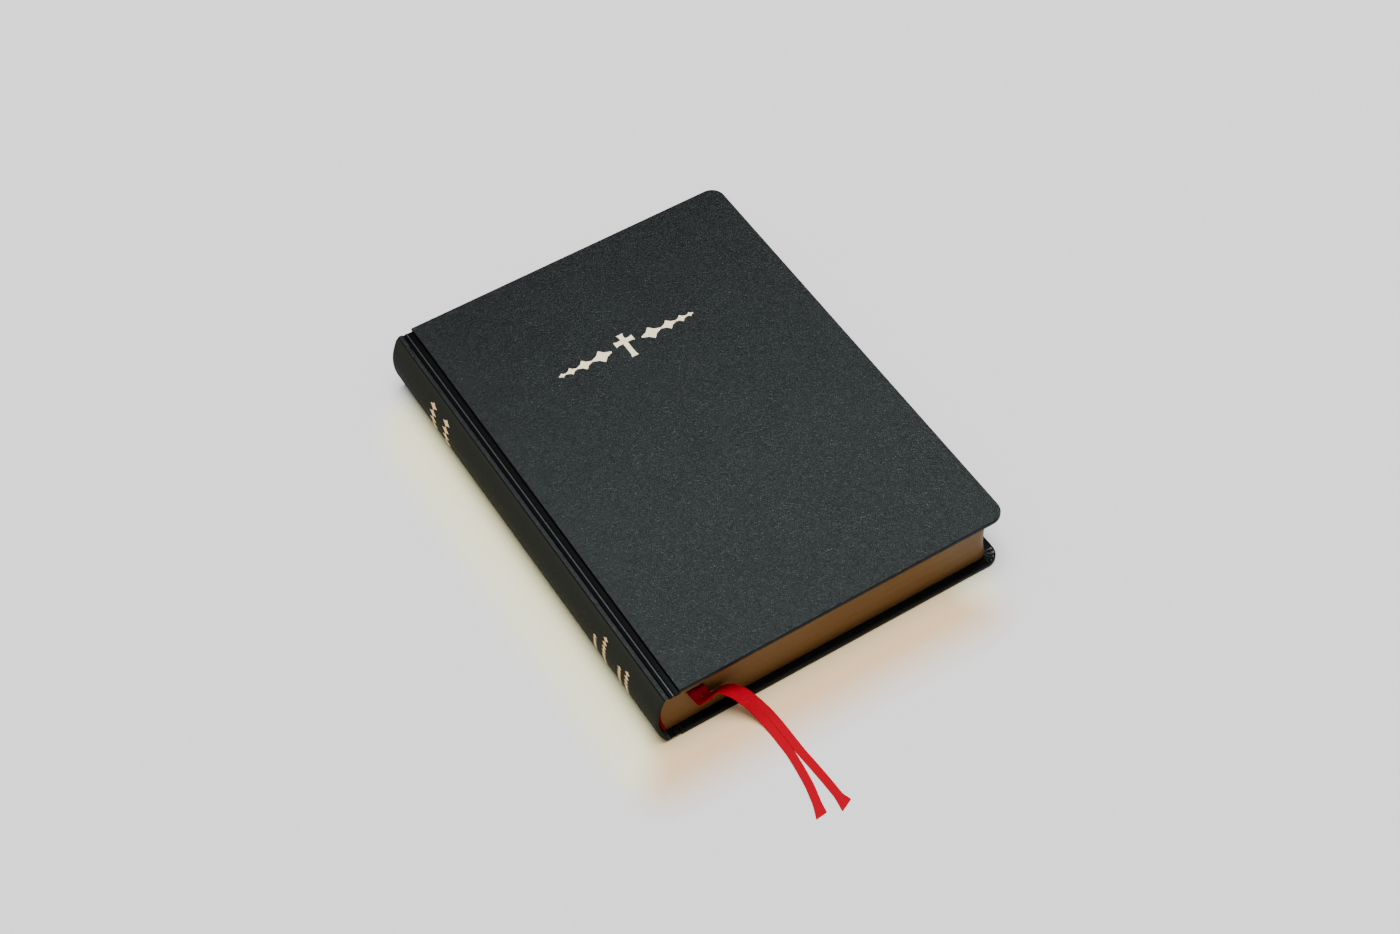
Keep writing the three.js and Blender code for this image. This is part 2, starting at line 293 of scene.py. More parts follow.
def leather(name, dark, light, grain, shine, matt=0.0):
    """Leather-grain book cloth: small pebbles parted by fine creases.

    Its colour is painted paler from head to tail, a painted sheen, and varies in large random patches.
    """
    made = Shader(name)
    warp = made.noise(900, 2.0)
    pebbles = made.cells(PEBBLES_PER_METRE, warp, 0.0005)
    domes = made.ramp(pebbles, PEBBLE_PROFILE)
    lumps = made.noise(1000, 1.0)
    pores = made.noise(2600, 4.0)
    # Painted sheen: the colour grows paler towards the tail, and random patches vary it.
    tailward = made.math("MULTIPLY", made.axes["Y"], -PAINTED_SHEEN_PER_METRE)
    patches = made.math("MULTIPLY", made.noise(45), WEAR_PATCHES)
    sheen_and_wear = made.math("ADD", made.math("ADD", tailward, patches), SHEEN_AND_WEAR_MIDDLE)
    colour = made.ramp(sheen_and_wear, [(0.2, dark), (0.6, light)])
    roughness = made.ramp(lumps, [(0.3, 0.26 + matt), (0.7, 0.46 + matt)])
    fine = made.bump(pores, 0.5 * grain, 0.00012)
    rolling = made.bump(lumps, 0.7 * grain, 0.0006, under=fine)
    relief = made.bump(domes, grain, 0.00022, under=rolling)
    # The reflections are tinted cool: a painted cool cast in the leather's sheen.
    cool = (0.9, 1.0, 1.0, 1.0)
    return made.finish(colour, roughness, relief, Specular_IOR_Level=shine, Specular_Tint=cool)


def endpaper():
    made = Shader("black_endpaper")
    fibres = made.noise(900, 4.0, made.stretched((1, 0.3, 1)))
    colour = made.ramp(fibres, [(0.3, (0.006, 0.006, 0.007)), (0.7, (0.011, 0.011, 0.012))])
    return made.finish(colour, 0.8, made.bump(fibres, 0.2, 0.00005))


# The gold is painted dark brown: painted shade standing in for the dark surroundings that gilt
# reflects.
GILT_DARK = (0.115, 0.056, 0.014)
GILT_LIGHT = (0.15, 0.076, 0.021)


def gilt(name, bright, lustre):
    """Gilded leaf edges: fine lines of leaves under a brown gold painted dark, as painted shade."""
    made = Shader(name)
    leaf_lines = made.noise(50, 5.0, made.stretched((0.5, 0.5, 70)))
    cloudy = made.noise(30)
    dark = [bright * c for c in GILT_DARK]
    light = [bright * c for c in GILT_LIGHT]
    warm = made.ramp(leaf_lines, [(0.3, dark), (0.7, light)])
    roughness = made.ramp(cloudy, [(0.3, 0.46), (0.7, 0.54)])
    relief = made.bump(leaf_lines, 0.1, 0.00005)
    return made.finish(warm, roughness, relief, Metallic=lustre, Specular_IOR_Level=0.2)


def page_paper():
    made = Shader("bible_paper")
    fibres = made.noise(700, 4.0)
    colour = made.ramp(fibres, [(0.3, (0.74, 0.7, 0.6)), (0.7, (0.82, 0.79, 0.7))])
    return made.finish(colour, 0.75, made.bump(fibres, 0.15, 0.00005))


SILK_SHADE_REACH = 6.0  # how far from the leaves' tail edge the silk is painted darker, as shade under the front cover


def silk(name, tone):
    """Red grosgrain: ribs are in the mesh, and the threads in the bump.

    The silk is painted darker close to the leaves' tail edge: painted shade under the front cover's
    overhang.
    """
    made = Shader(name)
    threads = made.noise(2600, 3.0)
    shade = made.noise(140)
    past_leaves = made.math("ADD", made.axes["Y"], LEAF_HALF_HEIGHT * MM)
    from_leaves = made.math("ABSOLUTE", past_leaves, 0.0)
    out_of_cover_shade = made.math("DIVIDE", from_leaves, SILK_SHADE_REACH * MM)
    cover_shade_and_mottle = made.math("ADD", out_of_cover_shade, made.math("MULTIPLY", shade, 0.3))
    # Painted shade: darkest at the leaves' tail edge, full tone a few millimetres out, and mottled at
    # random.
    deepest = [0.38 * tone[0], 0, 0.009]
    deep = [0.6 * c for c in tone]
    colour = made.ramp(cover_shade_and_mottle, [(0.25, deepest), (0.6, deep), (1.0, tone)])
    roughness = made.ramp(threads, [(0.3, 0.36), (0.7, 0.5)])
    relief = made.bump(threads, 0.3, 0.00006)
    return made.finish(colour, roughness, relief, Specular_IOR_Level=0.0)


def gold_foil(name, worn, bright):
    made = Shader(name)
    speckle = made.noise(1500, 4.0)
    colour = made.ramp(speckle, [(0.25, worn), (0.55, bright)])
    roughness = made.ramp(speckle, [(0.3, 0.45), (0.7, 0.3)])
    return made.finish(colour, roughness, made.bump(speckle, 0.2, 0.00004), Metallic=0.1)


def card(name, dark, light, fibre_scale):
    """Board, card or kraft paper with short fibres."""
    made = Shader(name)
    fibres = made.noise(fibre_scale, 5.0, made.stretched((1, 0.4, 1)))
    colour = made.ramp(fibres, [(0.3, dark), (0.7, light)])
    return made.finish(colour, 0.9, made.bump(fibres, 0.4, 0.0001))


def woven(name, dark, light, pitch):
    """An open weave of crossed threads this far apart, in metres."""
    made = Shader(name)
    bands = math.pi / 10 / pitch
    across = made.waves(bands, "Y")
    along = made.waves(bands, "Z")
    weave = made.math("MULTIPLY", across, along)
    colour = made.ramp(weave, [(0.1, dark), (0.6, light)])
    return made.finish(colour, 0.9, made.bump(weave, 0.5, 0.0001))


HALO_SHIFT = 14.0  # the painted warm glow and shadow show on the spine's and the tail's side only
HALO_REACH_X = FORE_EDGE - HALO_SHIFT
HALO_REACH_Y = HALF_HEIGHT - HALO_SHIFT
HALO_WIDTH = 40.0
TAIL_TONE_BLEND = 20.0  # the spine's tone turns into the tail's over this distance
# Floor colours by distance from the book. Beside the spine: a painted glow, yellow and lighter in red
# than the far floor, over the book's own shade. Below the tail: a painted warm brown shadow.
BY_SPINE = [(0.0, (1.0, 0.97, 0.6)), (0.35, (0.93, 0.92, 0.66)), (0.65, (0.8, 0.8, 0.8))]
BY_TAIL = [(0.0, (0.82, 0.48, 0.23)), (0.35, (0.8, 0.57, 0.35)), (0.8, (0.8, 0.8, 0.8))]


def studio_floor():
    """Pale paper with painted light near the book: a painted yellow glow close to the spine and a
    painted brown shadow below the gilt tail.
    """
    made = Shader("studio_floor")
    gaps = []
    for axis, reach in (("X", HALO_REACH_X * MM), ("Y", HALO_REACH_Y * MM)):
        shifted = made.math("ADD", made.axes[axis], HALO_SHIFT * MM)
        away = made.math("SUBTRACT", made.math("ABSOLUTE", shifted, 0.0), reach)
        gaps.append(made.math("MAXIMUM", away, 0.0))
    squares = [made.math("MULTIPLY", gap, gap) for gap in gaps]
    distance = made.math("SQRT", made.math("ADD", *squares), 0.0)
    share = made.math("DIVIDE", distance, HALO_WIDTH * MM)
    past_tail = made.math("SUBTRACT", -HALF_HEIGHT * MM, made.axes["Y"])
    lead = made.math("SUBTRACT", past_tail, gaps[0])
    tailward = made.math("ADD", made.math("DIVIDE", lead, TAIL_TONE_BLEND * MM), 0.5)
    tone = made.node(
        "ShaderNodeMixRGB",
        {"use_clamp": True},
        Fac=made.ramp(tailward, [(0.0, 0.0), (1.0, 1.0)]),
        Color1=made.ramp(share, BY_SPINE),
        Color2=made.ramp(share, BY_TAIL),
    )
    return made.finish(tone.outputs["Color"], 0.9, Specular_IOR_Level=0.0)


# ---- covers -----------------------------------------------------------------------------------
CORNER_RADIUS = 6.0
RIM = 0.55  # rounding of the cloth where it turns over a board's edge
TURN_IN = 15.0
BOARD_CLOTH = 0.35
CORNER_STEPS = 44
PLEATS = 4
PLEAT_RINGS = [(1.0, 0.5), (1.8, 0.7), (2.8, 0.65), (3.8, 0.4), (5.0, 0.15)]  # inset, pucker
PLEAT_SPREAD = 0.3  # how far a pleat stands out sideways, as a share of its height
RIM_PUCKER = 0.16
RIM_STEPS = 6
FACE_ROWS = 3  # the rows of the outer rim that look like the face
PLEATED_ROW = 2 * RIM_STEPS + 1  # from this row on, the corners are pleated


def cover_ring(side, inset, spine_inset, depth, pucker):
    """One ring round a cover, this far in from its edges and below its face.

    At the corners the cloth is gathered in pleats, as high as pucker.
    """
    radius = max(CORNER_RADIUS - inset, 0.5)
    fore = FORE_EDGE - inset - radius
    half = HALF_HEIGHT - inset
    spine = BOARD_EDGE + spine_inset
    ring = []
    for sign in (-1, 1):
        centre_y = sign * (half - radius)
        for step in range(CORNER_STEPS + 1):
            share = step / CORNER_STEPS if sign < 0 else 1 - step / CORNER_STEPS
            turn = math.radians(90 * share)
            fold = math.sin(math.pi * share) ** 0.5 * pucker
            uneven = 0.5 * math.sin(5 * share)
            wave = abs(math.sin(math.pi * PLEATS * share + uneven))
            gather = fold * (0.5 - wave)
            reach = radius + PLEAT_SPREAD * gather
            x = fore + reach * math.sin(turn)
            y = centre_y + sign * reach * math.cos(turn)
            ring.append((x, y, height_in(side, depth + gather)))
    ring.append((spine, half, height_in(side, depth)))
    ring.append((spine, -half, height_in(side, depth)))
    return ring


def cover_leather(side, skins):
    """Cloth over a board: its face, rounded rims, and turn-ins pleated at the corners.

    Its skins are those of the face, the rims with the turn-ins, and the pleats. The rims, turn-ins and
    pleats are painted near black: painted shade.
    """
    rings = []
    turns = [math.radians(90 * step / RIM_STEPS) for step in range(RIM_STEPS + 1)]
    for turn in turns:
        inset = RIM * (1 - math.sin(turn))
        depth = RIM * (1 - math.cos(turn))
        rings.append(cover_ring(side, inset, inset, depth, 0.0))
    for turn in turns:
        inset = RIM * (1 - math.cos(turn))
        depth = COVER_THICKNESS - RIM * (1 - math.sin(turn))
        rings.append(cover_ring(side, inset, inset, depth, RIM_PUCKER * turn))
    for inset, pucker in PLEAT_RINGS:
        rings.append(cover_ring(side, inset, 1.0, COVER_THICKNESS, pucker))
    rings.append(cover_ring(side, TURN_IN, 1.0, COVER_THICKNESS, 0))
    rings.append(cover_ring(side, TURN_IN, 1.0, COVER_THICKNESS - BOARD_CLOTH, 0))
    points, faces = loft(rings)
    count = len(rings[0])
    corner = CORNER_STEPS + 1
    picks = []
    for i in range(len(faces)):
        row, place = divmod(i, count)
        at_corner = place < 2 * corner and place % corner != CORNER_STEPS
        if row < FACE_ROWS:
            pick = 0
        elif row >= PLEATED_ROW and at_corner:
            pick = 2
        else:
            pick = 1
        picks.append(pick)
    inner = (len(rings) - 1) * count
    faces.append(list(range(count))[::-1])
    faces.append([inner + i for i in range(count)])
    picks += [0, 1]
    piece = make_piece(f"{side}_cover_leather", points, faces, skins, picks)
    keep_edges(piece, 40)
    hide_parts(f"{side}_cover_cloth")
    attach(piece, f"{side}_cover")


# ---- joints and spine -----------------------------------------------------------------------
# Outer face of the cloth over a french joint: reach from the board's edge towards
# the spine, and depth below the cover's face. Groove, thin ridge, second groove, broad
# ridge, shoulder.
JOINT_STOPS = [
    (-0.6, 1.9),
    (0.4, 2.05),
    (2.0, 2.0),
    (2.5, 1.6),
    (3.4, 2.1),
    (4.5, 1.55),
    (5.4, 1.4),
    (6.05, 1.55),
    (6.6, 2.15),
]
THIN_RIDGE = (2.25, 2.75)  # reaches between which the cloth stands proud
BROAD_RIDGE = (4.4, 6.1)
SHOULDER = 6.4
JOINT_STEPS = 5
JOINT_RELIEF = {"front": 1.0, "back": 0.6}  # the book's weight presses the lower joint
SPINE_HALF_SPAN = 12.45  # height of the round spine's edge from mid height
HEM_TURN_IN = 15.0
CASE_CLOTH = 0.45
JOINT_HEM = 0.8
SPINE_HEM = 1.6
SPINE_HEM_FROM = 6.0  # reach from the board at which the hem begins to thicken
SPINE_HEM_BLEND = 2.0
CLOTH_STATIONS = (85, 50, 0, -50, -85)  # places along Y on the cloth's outer face


def case_profile(side):
    """Outer face of the cloth from a board's edge to the middle of the spine."""
    flatter = JOINT_RELIEF[side]
    stops = [
        (BOARD_EDGE - reach, 0, height_in(side, depth * flatter)) for reach, depth in JOINT_STOPS
    ]
    profile = curve_through(stops, JOINT_STEPS)
    sign = 1 if side == "front" else -1
    widest = math.asin(SPINE_HALF_SPAN / SPINE_RADIUS)
    arc_steps = 26
    for step in range(arc_steps + 1):
        turn = widest * (1 - step / arc_steps)
        x = ARC_X - SPINE_RADIUS * math.cos(turn)
        profile.append(Vector((x, 0, MID_Z + sign * SPINE_RADIUS * math.sin(turn))))
    return profile


def hemmed_loop(hem):
    """Section along Y of cloth folded in at head and tail: (y, depth into the book)."""
    half = HALF_HEIGHT
    radius = hem / 2
    tail = []
    fold_steps = 8
    for step in range(fold_steps + 1):
        turn = math.radians(180 * step / fold_steps)
        y = -half + radius - radius * math.sin(turn)
        tail.append((y, radius - radius * math.cos(turn)))
    inner = half - HEM_TURN_IN
    tail.append((-inner, hem))
    tail.append((-inner, CASE_CLOTH))
    head = [(-y, depth) for y, depth in reversed(tail)]
    outer = [(y, 0) for y in CLOTH_STATIONS]
    return tail + head + outer


def case_cloth(side, skins):
    """Cloth of one french joint and its half of the round spine.

    Its skins are those of the grooves, the thin ridge, the broad ridge and the spine. The grooves are
    painted near black, a painted shade, and the thin ridge lighter, a painted highlight.
    """
    profile = case_profile(side)
    rings = []
    for k, point in enumerate(profile):
        before = profile[max(k - 1, 0)]
        after = profile[min(k + 1, len(profile) - 1)]
        along = (after - before).normalized()
        inward = Vector((-along.z, 0, along.x))
        if side == "back":
            inward = -inward
        if k == len(profile) - 1:
            inward = Vector((1, 0, 0))
        on_spine = smoothstep((BOARD_EDGE - SPINE_HEM_FROM - point.x) / SPINE_HEM_BLEND)
        hem = JOINT_HEM + (SPINE_HEM - JOINT_HEM) * on_spine
        rings.append(
            [
                (point.x + inward.x * depth, y, point.z + inward.z * depth)
                for y, depth in hemmed_loop(hem)
            ]
        )
    points, faces = loft(rings)
    picks = []
    for before, after in zip(profile, profile[1:]):
        reach = BOARD_EDGE - (before.x + after.x) / 2
        if THIN_RIDGE[0] < reach < THIN_RIDGE[1]:
            pick = 1
        elif BROAD_RIDGE[0] < reach < BROAD_RIDGE[1]:
            pick = 2
        else:
            pick = 0 if reach < SHOULDER else 3
        picks += [pick] * len(rings[0])
    piece = make_piece(f"{side}_joint_cloth", points, faces, skins, picks)
    keep_edges(piece, 60)
    if side == "front":
        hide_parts("spine_cloth")
    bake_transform(piece)


# ---- leaves ---------------------------------------------------------------------------------
LEAF_STEP = 1.5  # distance between a leaf's stations near the ribbons
OVER_RIBBONS = round((RIBBONS_END_X - RIBBONS_START_X) / LEAF_STEP)
BEYOND_RIBBONS = 6


def leaf_stations(height, inset):
    """Half the outline of a leaf at this height: x, and half its length there."""
    reach = math.sqrt(BLOCK_RADIUS**2 - (height - MID_Z) ** 2)
    back = ARC_X - reach
    fore = LEAF_FORE + FORE_HOLLOW * (BLOCK_RADIUS - reach) - inset
    half = LEAF_HALF_HEIGHT - inset
    back += inset
    before_ribbons = RIBBONS_START_X - PARTING_CLOSES
    after_ribbons = RIBBONS_END_X + PARTING_CLOSES
    gutter_steps = 8
    stations = [
        (back + (before_ribbons - back) * (step / gutter_steps), half)
        for step in range(gutter_steps + 1)
    ]
    stations += [(RIBBONS_START_X + LEAF_STEP * step, half) for step in range(OVER_RIBBONS + 1)]
    stations += [(after_ribbons + LEAF_STEP * step, half) for step in range(BEYOND_RIBBONS + 1)]
    radius = LEAF_CORNER - inset
    corner_steps = 9
    for step in range(corner_steps + 1):
        turn = math.radians(90 * step / corner_steps)
        stations.append(
            (fore - radius + radius * math.sin(turn), half - radius + radius * math.cos(turn))
        )
    return stations


def leaf_ring(height, inset, parting=0.0):
    """An outline of the leaves: along the tail, the fore edge and the head.

    At the tail, where the ribbons lie, the leaves next to them stay apart; elsewhere
    their edges sag by the parting until they touch.
    """
    stations = leaf_stations(height, inset)
    ring = []
    for sign, outline in ((-1, stations), (1, stations[::-1])):
        for x, half in outline:
            past = max(x - RIBBONS_END_X, RIBBONS_START_X - x)
            closed = 1.0 if sign > 0 else smoothstep(past / PARTING_CLOSES)
            ring.append((x, sign * half, height - parting * closed))
    return ring


def stack(rings):
    """A pile of leaves: gilt walls and borders, and page faces in strips along X."""
    points, faces = loft(rings)
    count = len(rings[0])
    walls = len(faces)
    top = (len(rings) - 1) * count
    for i in range(count // 2 - 1):
        across = [i, i + 1, count - 2 - i, count - 1 - i]
        faces.append(across)
        faces.append([top + j for j in reversed(across)])
    return points, faces, [0] * walls + [1] * (len(faces) - walls)


GILT_BORDER = 1.2  # how far the gilding shows on the outermost face of a section
SECTION_GAP = 0.04  # the sections press against each other
RIBBON_PARTING = 0.68
EDGE_INSET = 0.06  # mean inset of the leaves' edges
TOP_EDGE_INSET = 0.07
SECTION_SWELL = 0.012  # how much the sections' edges differ
LEAF_SWELL = 0.003  # how much the leaves' edges differ within one section
LEAF_GROOVE = 0.008  # depth of the line between two leaves
FLYLEAF_INSET = 0.02


def bend_at_gutter(piece):
    """Bakes the piece's place into its mesh; the leaves stay flat."""
    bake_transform(piece)


def section(number, edge, paper, rng):
    """One folded and sewn section, its leaves showing as fine lines on the edges."""
    node = f"section_{number:02d}"
    low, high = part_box(node)
    bottom = low.z / MM
    top = high.z / MM + SECTION_GAP
    parting = RIBBON_PARTING if number == SECTIONS_ABOVE_RIBBONS else 0.0
    leaf = (top - bottom) / LEAVES_PER_SECTION
    swell = rng.uniform(-SECTION_SWELL, SECTION_SWELL)
    rings = [leaf_ring(bottom, GILT_BORDER)]
    for i in range(LEAVES_PER_SECTION):
        stand = EDGE_INSET + swell + rng.uniform(-LEAF_SWELL, LEAF_SWELL)
        base = bottom + i * leaf
        sag = parting if i == 0 else 0.0
        rings.append(leaf_ring(base, stand + LEAF_GROOVE, sag))
        rings.append(leaf_ring(base + 0.5 * leaf, stand))
    rings.append(leaf_ring(top, TOP_EDGE_INSET + swell))
    rings.append(leaf_ring(top, GILT_BORDER))
    points, faces, picks = stack(rings)
    piece = make_piece(f"leaves_{number:02d}", points, faces, [edge, paper], picks)
    keep_edges(piece, 50)
    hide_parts(node)
    bend_at_gutter(piece)


def flyleaf(side, edge, paper):
    node = f"{side}_flyleaf"
    low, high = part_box(node)
    rings = [leaf_ring(z / MM, FLYLEAF_INSET) for z in (low.z, high.z)]
    points, faces, picks = stack(rings)
    piece = make_piece(f"{side}_flyleaf_sheet", points, faces, [edge, paper], picks)
    keep_edges(piece, 50)
    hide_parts(node)
    bend_at_gutter(piece)


# ---- woven bands -----------------------------------------------------------------------------
def woven_band(end, material):
    """A headband: silk wound in close turns round a core along the leaves' backs."""
    node = f"{end}_band"
    sign = 1 if end == "head" else -1
    core_radius = 0.78
    arc_radius = 24.2
    half_span = 10.4
    centre_y = sign * (LEAF_HALF_HEIGHT + 0.95)
    turns = 46
    per_turn = 5
    round_steps = 10
    reach = math.asin(half_span / arc_radius)
    rings = []
    count = turns * per_turn
    for step in range(count + 1):
        angle = reach * (2 * step / count - 1)
        bead = abs(math.sin(math.pi * step / per_turn))
        closing = math.sqrt(max(1 - (2 * step / count - 1) ** 12, 0.02))
        radius = core_radius * closing * (0.86 + 0.14 * bead)
        ring = []
        for k in range(round_steps):
            turn = 2 * math.pi * k / round_steps
            out = arc_radius + radius * math.cos(turn)
            x = ARC_X - out * math.cos(angle)
            z = MID_Z + out * math.sin(angle)
            ring.append((x, centre_y + radius * math.sin(turn), z))
        rings.append(ring)
    points, faces = loft(rings, capped=True)
    piece = make_piece(f"{end}_band_silk", points, faces, [material])
    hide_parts(node)
    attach(piece, "spine")


# ---- ribbons ------------------------------------------------------------------------------------
RIBBON_WIDTH = 3.5
RIBBON_HALF_THICKNESS = 0.11
RIB_PITCH = 0.8
RIB_HEIGHT = 0.065
LYING_Z = 0.22

# Middle lines of the free tails, from the tail edge of the leaves to the cut ends.
TAIL_STOPS = {
    "left": [
        (-60.6, -99.4, 19.85),
        (-60.25, -99.85, 19.0),
        (-59.55, -100.1, 17.1),
        (-58.85, -100.3, 15.1),
        (-58.2, -100.5, 13.5),
        (-57.7, -100.8, 12.4),
        (-56.9, -101.5, 12.8),
        (-55.6, -102.2, 13.8),
        (-53.7, -102.4, 14.7),
        (-51.8, -102.4, 15.3),
        (-50.2, -102.7, 15.1),
        (-48.2, -103.7, 14.1),
        (-46.1, -105, 12.5),
        (-44.3, -106.5, 10.4),
        (-42.5, -108.4, 8),
        (-41, -110.2, 5.6),
        (-39.8, -112.4, 3.3),
        (-38.9, -114.7, 1.6),
        (-38.4, -117.6, 0.6),
        (-38.15, -121, LYING_Z),
        (-38.05, -126, LYING_Z),
        (-38.05, -130.5, LYING_Z),
        (-38.3, -134, LYING_Z),
        (-38.7, -138, LYING_Z),
        (-39.2, -142, LYING_Z),
        (-39.8, -146, LYING_Z),
        (-40.7, -150, LYING_Z),
        (-41.7, -154, LYING_Z),
        (-43.0, -158.6, LYING_Z),
    ],
    "right": [
        (-57.1, -99.4, 19.85),
        (-56.9, -99.9, 19.5),
        (-56.2, -100.1, 18.1),
        (-55.5, -100.3, 16.2),
        (-54.9, -100.5, 14.6),
        (-54.5, -100.75, 13.5),
        (-53.8, -100.95, 13.1),
        (-52.9, -100.8, 13.1),
        (-51.4, -100.4, 13),
        (-49.9, -100.3, 13.1),
        (-48.1, -100.5, 13.2),
        (-45.6, -101.6, 12.9),
        (-43.1, -103.3, 11.7),
        (-41, -105.2, 9.9),
        (-39.2, -107.4, 7.5),
        (-37.6, -109.7, 5.1),
        (-36.3, -112.3, 3),
        (-35.4, -114.7, 1.4),
        (-34.9, -117.6, 0.6),
        (-34.65, -121, LYING_Z),
        (-34.55, -126, LYING_Z),
        (-34.5, -130.5, LYING_Z),
        (-34.25, -135, LYING_Z),
        (-33.9, -140, LYING_Z),
        (-33.6, -145, LYING_Z),
        (-33.35, -150, LYING_Z),
        (-33.2, -155, LYING_Z),
        (-33.0, -159.9, LYING_Z),
    ],
}
SIDE_BY_SIDE = 21  # this many stops are passed with the two ribbons edge to edge
CUT_ENDS = {"left": (1.32, -0.94), "right": (1.6, -1.15)}  # flare, and slant of the cut
SLANT_LENGTH = 5.0  # the ribs turn slanted over this length
FOLD_AT = 7.5  # distance along a tail where it folds over
FOLD_REACH = 3.0
FOLD_PINCH = 0.04
FLARE_START = 6.5  # distance from the cut end where the flare begins
FLARE_LENGTH = 7.0


def width_directions(name):
    """Across a ribbon at each of its stops."""
    stops = [Vector(stop) for stop in TAIL_STOPS[name]]
    left = [Vector(stop) for stop in TAIL_STOPS["left"]]
    right = [Vector(stop) for stop in TAIL_STOPS["right"]]
    directions = []
    for k, stop in enumerate(stops):
        if k < SIDE_BY_SIDE:
            directions.append((right[k] - left[k]).normalized())
        else:
            along = stops[min(k + 1, len(stops) - 1)] - stops[k - 1]
            directions.append(Vector((-along.y, along.x, 0)).normalized())
    return directions


def resample(line, values, pitch):
    """Points every pitch along a line, with the values there and the distance run."""
    points = [line[0]]
    found = [values[0]]
    run = [0.0]
    travelled = 0.0
    due = pitch
    for a, b, va, vb in zip(line, line[1:], values, values[1:]):
        length = (b - a).length
        while travelled + length >= due:
            share = (due - travelled) / length
            points.append(a.lerp(b, share))
            found.append(va.lerp(vb, share))
            run.append(due)
            due += pitch
        travelled += length
    return points, found, run


def ribbon_section(centre, across, along, half_width, swell, slant):
    """One closed section of a ribbon: flat faces, thicker woven edges.

    Slant is how far its right edge runs ahead of its middle.
    """
    up = across.cross(along).normalized()
    shares = (-1, -0.93, -0.8, -0.4, 0, 0.4, 0.8, 0.93, 1)
    ring = []
    for face in (1, -1):
        for share in shares if face > 0 else reversed(shares):
            selvage = 0.035 if abs(share) in (0.93, 0.8) else 0.0
            edge = 0.35 if abs(share) == 1 else 1.0
            lift = face * edge * (RIBBON_HALF_THICKNESS + swell + selvage)
            point = centre + across * (share * half_width) + along * (share * slant) + up * lift
            ring.append(tuple(point))
    return ring


def ribbon_mesh(points, directions, run, half_width_at, name, material, cut_slant=0.0):
    rings = []
    for k, (centre, across) in enumerate(zip(points, directions)):
        along = points[min(k + 1, len(points) - 1)] - points[max(k - 1, 0)]
        along.normalize()
        across = (across - along * across.dot(along)).normalized()
        swell = RIB_HEIGHT * (0.5 + 0.5 * math.cos(2 * math.pi * run[k] / RIB_PITCH))
        slant = cut_slant * smoothstep((run[k] - run[-1] + SLANT_LENGTH) / SLANT_LENGTH)
        rings.append(ribbon_section(centre, across, along, half_width_at(run[k]), swell, slant))
    made_points, faces = loft(rings, capped=True)
    piece = make_piece(name, made_points, faces, [material])
    keep_edges(piece, 70)
    return piece


def ribbon_tail(name, material):
    """A free tail, creased where it leaves the book and flared at its cut end."""
    steps = 8
    line = curve_through(TAIL_STOPS[name], steps)
    values = curve_through(width_directions(name), steps)
    points, directions, run = resample(line, values, RIB_PITCH / 6)
    length = run[-1]
    flare, cut_slant = CUT_ENDS[name]

    def half_width_at(distance):
        half = RIBBON_WIDTH / 2 - 0.02
        fold = math.exp(-(((distance - FOLD_AT) / FOLD_REACH) ** 2))
        spread = smoothstep((distance - (length - FLARE_START)) / FLARE_LENGTH) ** 1.3
        return half * (1 - FOLD_PINCH * fold + (flare - 1) * spread)

    piece_name = f"ribbon_{name}_tail_silk"
    piece = ribbon_mesh(
        points, directions, run, half_width_at, piece_name, material, cut_slant
    )
    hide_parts(f"ribbon_{name}_tail")
    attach(piece, "back_cover")


OPEN_TURN = math.radians(60)  # opening of the back joint at which the held ribbons fit
HELD_LEAN = 11  # how much nearer to the spine a ribbon lies at the head
HELD_GAP = 0.6  # from its held end to the gilt border at the head
HELD_OVERLAP = 0.45  # past the tail edge of the leaves


def gutter_stretch(x, height):
    """How much wider the bending leaves make a ribbon that lies between them."""
    back = ARC_X - BLOCK_RADIUS
    share = min(max((x - back) / (GUTTER_END_X - back), 0), 1)
    slope = 6 * share * (1 - share) / (GUTTER_END_X - back)
    return math.hypot(1, OPEN_TURN * (height - COVER_THICKNESS) * slope)


def ribbon_inside(name, material):
    """The stretch that lies between the leaves, up to the head of the spine."""
    exit_x = TAIL_STOPS[name][0][0]
    height = TAIL_STOPS[name][0][2]
    stops = [
        Vector((exit_x - HELD_LEAN, LEAF_HALF_HEIGHT - GILT_BORDER - HELD_GAP, height)),
        Vector((exit_x, -LEAF_HALF_HEIGHT - HELD_OVERLAP, height)),
    ]
    along = (stops[1] - stops[0]).normalized()
    across = Vector((-along.y, along.x, 0))
    points, directions, run = resample(stops, [across, across], RIB_PITCH / 4)
    half = RIBBON_WIDTH / 2 - 0.05

    def half_width_at(distance):
        return half / gutter_stretch(stops[0].x + along.x * distance, height)

    piece = ribbon_mesh(points, directions, run, half_width_at, f"ribbon_{name}_silk", material)
    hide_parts(f"ribbon_{name}")
    bend_at_gutter(piece)


# ---- gold ornaments -------------------------------------------------------------------------------
FOIL_LIFT = 0.012
FOIL = 0.05


def flat_foil(name, outline, node, material):
    """A foil shape stamped on the front cover, from its outline of (x, y)."""
    floor = THICKNESS + FOIL_LIFT
    rings = [[(x, y, floor + lift) for x, y in outline] for lift in (-0.03, FOIL)]
    points, faces = loft(rings, capped=True)
    piece = make_piece(name, points, faces, [material], smooth=False)
    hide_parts(node)
    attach(piece, "front_cover")


ORNAMENT_X = BOARD_EDGE + 68
ORNAMENT_Y = 47.5


